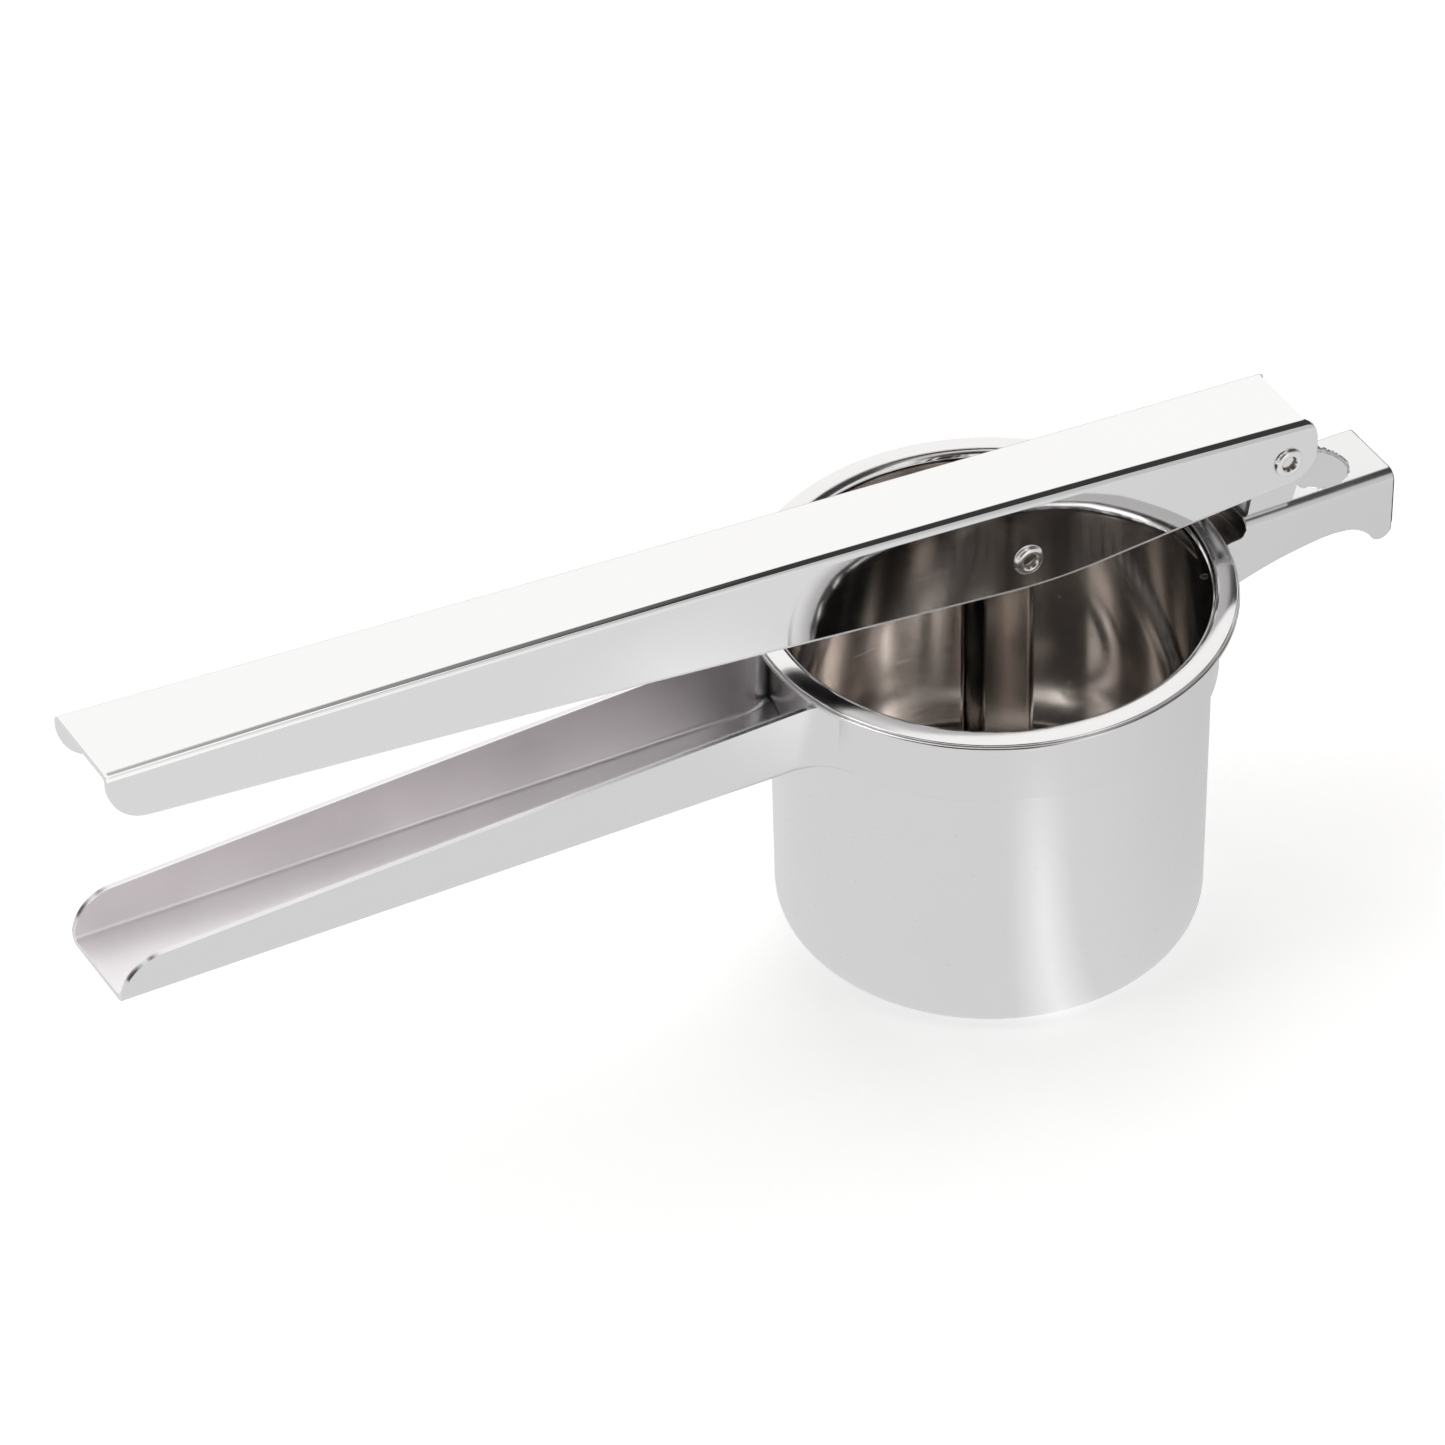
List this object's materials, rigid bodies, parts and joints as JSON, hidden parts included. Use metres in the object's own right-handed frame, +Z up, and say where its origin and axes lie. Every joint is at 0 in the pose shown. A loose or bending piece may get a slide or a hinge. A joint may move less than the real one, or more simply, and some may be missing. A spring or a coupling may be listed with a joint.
{
  "type": "potato ricer",
  "caption": "Hand press with a perforated round basket, two channel handles and a hinged plunger that pushes cooked food through the basket's floor.",
  "frame": {"origin": "centre of the underside of the basket's floor, which is the face the ricer stands on", "axes": "+Z up along the basket's axis; -X along the two handles; +X towards the rear bracket and the hinge; Y along the hinge's rivet"},
  "size_m": [0.2765, 0.095, 0.1166],
  "materials": {
    "polished_steel": "polished, near mirror",
    "satin_steel": "satin, tumbled",
    "basket_steel": "satin outside, fine turned brushing inside",
    "rivet_steel": "polished",
    "plunger_steel": "fine brushed"
  },
  "bodies": {
    "frame": {"basket": "basket_steel", "collar": "satin_steel", "lower_handle": "satin_steel", "rear_bracket": "satin_steel", "hinge_lugs": "satin_steel"},
    "handle": {"upper_handle": "polished_steel", "pivot_rivet": "rivet_steel", "plunger_rivet": "rivet_steel", "plunger_spacers": "plunger_steel"},
    "plunger": {"plunger_stem": "plunger_steel", "plunger_plate": "plunger_steel", "plate_rivets": "rivet_steel"}
  },
  "joints": [
    {"name": "handle_pivot", "type": "hinge", "parent": "frame", "child": "handle", "pos_m": [0.0604, 0, 0.088], "axis": [0, 1, 0], "range_deg": [0, 45]},
    {"name": "plunger_swing", "type": "hinge", "parent": "handle", "child": "plunger", "pos_m": [0.00284, 0, 0.0871], "axis": [0, 1, 0], "range_deg": [-36, 0]}
  ],
  "couplings": [
    {"joint": "plunger_swing", "follows": "handle_pivot", "ratio": -0.8}
  ]
}
